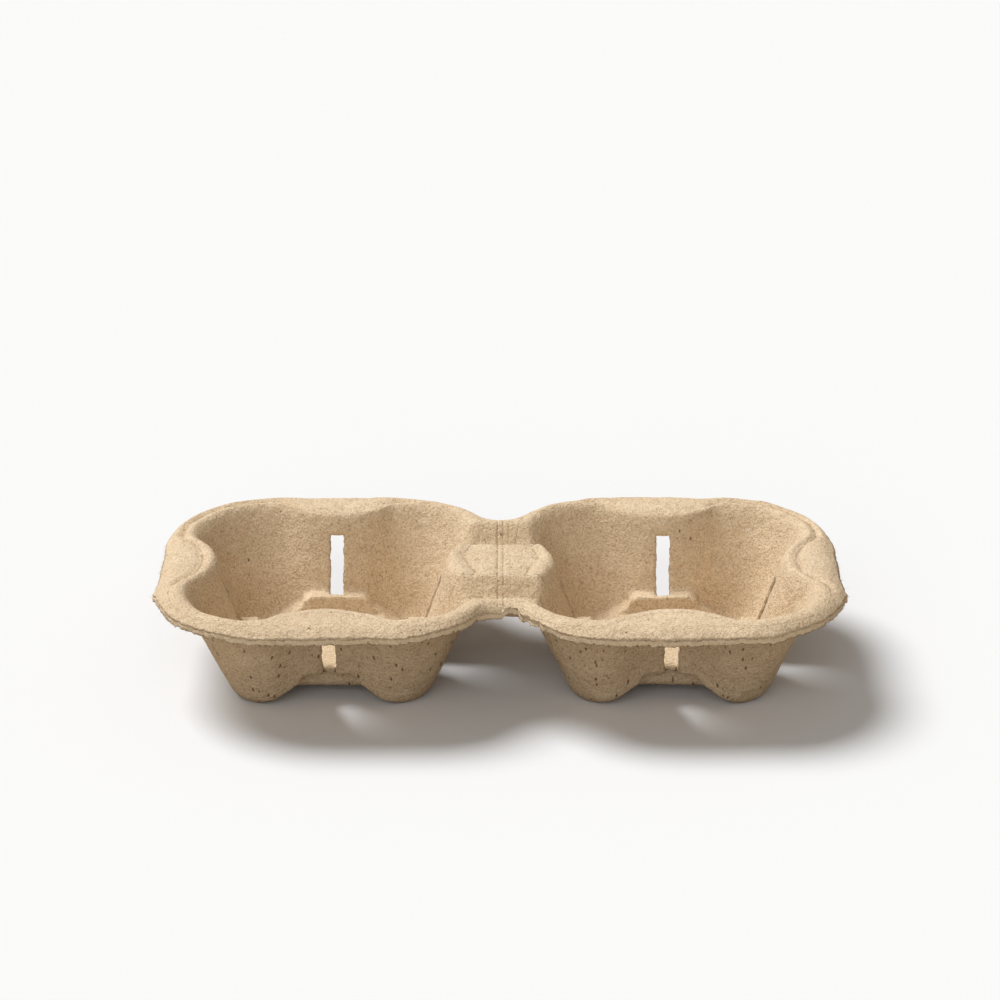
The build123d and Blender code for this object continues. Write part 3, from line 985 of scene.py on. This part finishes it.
def pulp_material():
    """The pulp: cloudy brown with a fine nap, pale and brown fibres and a few dark shreds, paler
    at the cut edge, partly as painted light, darker in the score, and with painted shade along
    the creases."""
    material = bpy.data.materials.new("moulded_pulp")
    material.use_nodes = True
    tree = material.node_tree
    shader = tree.nodes["Principled BSDF"]
    place = tree.nodes.new("ShaderNodeTexCoord").outputs["Object"]
    clouds = noise(tree, place, CLOUDS, 3.0)
    mottle = noise(tree, place, MOTTLE, 2.0)
    grain = noise(tree, place, GRAIN, 2.0)
    pale = strands(tree, place, 1.9, 0.07, 0.48)
    brown = strands(tree, moved(tree, place, (0.9, 0.4, 0.2)), 2.3, 0.08, 0.40)
    few = shreds(tree, place, 3.4, 0.42, 0.20)
    many = shreds(tree, moved(tree, place, (0.7, 0.2, 0.9)), 1.7, 0.44, 0.52, 0.13)
    dark = maths(tree, "MAXIMUM", few, maths(tree, "MULTIPLY", many, marked(tree, "outer_face")))
    across = maths(tree, "SUBTRACT", maths(tree, "ABSOLUTE", side_of(tree, place)), SCORE * MM)
    across = maths(tree, "ABSOLUTE", across)
    shade = ramp(tree, across, SCORE_DARK[0] * MM, SCORE_DARK[1] * MM)
    score = maths(tree, "MULTIPLY", marked(tree, "scored"), shade)
    # Painted shade: the colour darkens along each crease, as if the groove lay in shade, and the
    # bump dips there too.
    wander = maths(tree, "MULTIPLY", maths(tree, "SUBTRACT", mottle, 0.5), CREASE_WANDER)
    away = maths(tree, "ABSOLUTE", maths(tree, "ADD", marked(tree, "from_crease"), wander))
    crease = ramp(tree, away, CREASE_DARK, 0.0)
    crease = maths(tree, "MULTIPLY", crease, ramp(tree, mottle, 0.72, 0.40))
    colour = mixed(tree, ramp(tree, clouds, 0.36, 0.66), PULP_DENSE, PULP)
    layers = (
        (ramp(tree, mottle, 0.60, 0.34), 1.0, PULP_DENSE),
        (ramp(tree, grain, 0.48, 0.74), 0.80, PULP_NAP),
        (ramp(tree, grain, 0.46, 0.28), 0.62, FIBRE_BROWN_AND_CREASE_SHADE),
        (pale, 0.50, FIBRE_PALE),
        (brown, 0.42, FIBRE_BROWN_AND_CREASE_SHADE),
        (dark, 0.80, SHRED),
        # paler at the cut edge: partly its own tone, partly painted light
        (marked(tree, "cut"), 0.60, CUT_EDGE_TONE_AND_LIGHT),
        (score, 0.85, SCORE_SHADE),
        # painted shade along the creases
        (crease, 0.62, FIBRE_BROWN_AND_CREASE_SHADE),
    )
    for share, strength, shade in layers:
        colour = mixed(tree, maths(tree, "MULTIPLY", share, strength), colour, shade)
    tree.links.new(colour, shader.inputs["Base Color"])
    shader.inputs["Roughness"].default_value = ROUGHNESS
    shader.inputs["Specular IOR Level"].default_value = SPECULAR
    height = grain
    proud = maths(tree, "ADD", pale, brown)
    for part, strength in ((mottle, 1.5), (proud, 0.22), (dark, -0.5), (crease, -0.5)):
        height = maths(tree, "ADD", height, maths(tree, "MULTIPLY", part, strength))
    bump = tree.nodes.new("ShaderNodeBump")
    bump.inputs["Strength"].default_value = 1.0
    bump.inputs["Distance"].default_value = BUMP * MM
    tree.links.new(height, bump.inputs["Height"])
    tree.links.new(bump.outputs["Normal"], shader.inputs["Normal"])
    return material


pulp = pulp_material()
for piece in (carrier, fuzz):
    piece.data.materials.append(pulp)
print("pulp material with", len(pulp.node_tree.nodes), "nodes")

# %% [markdown]
# ## Floor, light and camera
# The photograph is a plain studio shot on white: soft light from above, from the left and a little
# behind, a weak light in front, and a long lens that looks down at the carrier by about 24
# degrees. Distant lamps light the floor evenly all the way back, so that it shows as one pale
# tone with only the carrier's own shadow.

# %% Floor
FLOOR_HALF = 4.0
FLOOR_LEVEL = -0.00003  # just clear of the feet, so that no two faces share a plane
FLOOR_COLOUR = (0.800, 0.815, 0.834, 1)
FLOOR_BOUNCE = (0.40, 0.345, 0.28, 1)  # the light that it throws back at the carrier


def seen_plainly(tree):
    """1 where the camera sees a surface, straight, in a mirror or through glass, and 0 for the
    light that a surface gives to matt ones."""
    rays = tree.nodes.new("ShaderNodeLightPath").outputs
    through = maths(tree, "MAXIMUM", rays["Is Glossy Ray"], rays["Is Transmission Ray"])
    return maths(tree, "MAXIMUM", rays["Is Camera Ray"], through)


def white_floor():
    """A large square of matt white."""
    material = bpy.data.materials.new("floor")
    material.use_nodes = True
    tree = material.node_tree
    shader = tree.nodes["Principled BSDF"]
    colour = mixed(tree, seen_plainly(tree), FLOOR_BOUNCE, FLOOR_COLOUR)
    tree.links.new(colour, shader.inputs["Base Color"])
    shader.inputs["Roughness"].default_value = 1.0
    shader.inputs["Specular IOR Level"].default_value = 0.0
    signs = [(-1, -1), (1, -1), (1, 1), (-1, 1)]
    corners = [(x * FLOOR_HALF, y * FLOOR_HALF, FLOOR_LEVEL) for x, y in signs]
    made = bpy.data.meshes.new("floor")
    made.from_pydata(corners, [], [(0, 1, 2, 3)])
    made.materials.append(material)
    floor = bpy.data.objects.new("floor", made)
    bpy.context.scene.collection.objects.link(floor)


white_floor()
print("floor", 2 * FLOOR_HALF, "m square")

# %% Light
SKY = 0.26
SKY_TINT = (1.0, 0.90, 0.78, 1)  # what the carrier sees of the room is warmer than its white wall
WHITE = (1, 1, 1, 1)
KEY = ((-0.54, 0.36, 1.0), 3.08, 30.0)  # direction, strength, angle in degrees
FILL = ((-0.20, -1.0, 0.60), 0.76, 50.0)


def sun(name, direction, strength, angle):
    """A distant lamp that shines from a direction, as soft as its angle is wide."""
    data = bpy.data.lights.new(name, "SUN")
    data.energy = strength
    data.angle = radians(angle)
    lamp = bpy.data.objects.new(name, data)
    x, y, z = direction
    lamp.rotation_euler = (np.arctan2(np.hypot(x, y), z), 0, np.arctan2(x, -y))
    lamp.location = direction
    bpy.context.scene.collection.objects.link(lamp)


world = bpy.data.worlds.new("studio")
bpy.context.scene.world = world
world.use_nodes = True
room = world.node_tree
seen = seen_plainly(room)
room.links.new(mixed(room, seen, SKY_TINT, WHITE), room.nodes["Background"].inputs["Color"])
strength = ramp(room, seen, 0.0, 1.0)
strength.node.inputs["To Min"].default_value = SKY
room.links.new(strength, room.nodes["Background"].inputs["Strength"])
sun("key", *KEY)
sun("fill", *FILL)
print("sky", SKY, "and two lamps of", KEY[1], "and", FILL[1])

# %% Camera
VIEW_DOWN = radians(24.0)
VIEW_DISTANCE = 1.1  # metres
SENSOR = 36.0
PIXELS_PER_MM = 3.2
FRAME = 1000  # pixels across the photograph
CREST_ROW = 558  # the row on which the middle of the carrier's crest lies

focal_pixels = PIXELS_PER_MM * VIEW_DISTANCE / MM
camera_data = bpy.data.cameras.new("camera")
camera_data.sensor_width = SENSOR
camera_data.lens = focal_pixels * SENSOR / FRAME
camera = bpy.data.objects.new("camera", camera_data)
camera.location = (0, -cos(VIEW_DOWN) * VIEW_DISTANCE, HEIGHT * MM + sin(VIEW_DOWN) * VIEW_DISTANCE)
camera.rotation_euler = (pi / 2 - VIEW_DOWN + atan((CREST_ROW - FRAME / 2) / focal_pixels), 0, 0)
bpy.context.scene.collection.objects.link(camera)
bpy.context.scene.camera = camera
bpy.context.scene.view_settings.view_transform = "Standard"
print("lens", camera_data.lens, "mm")
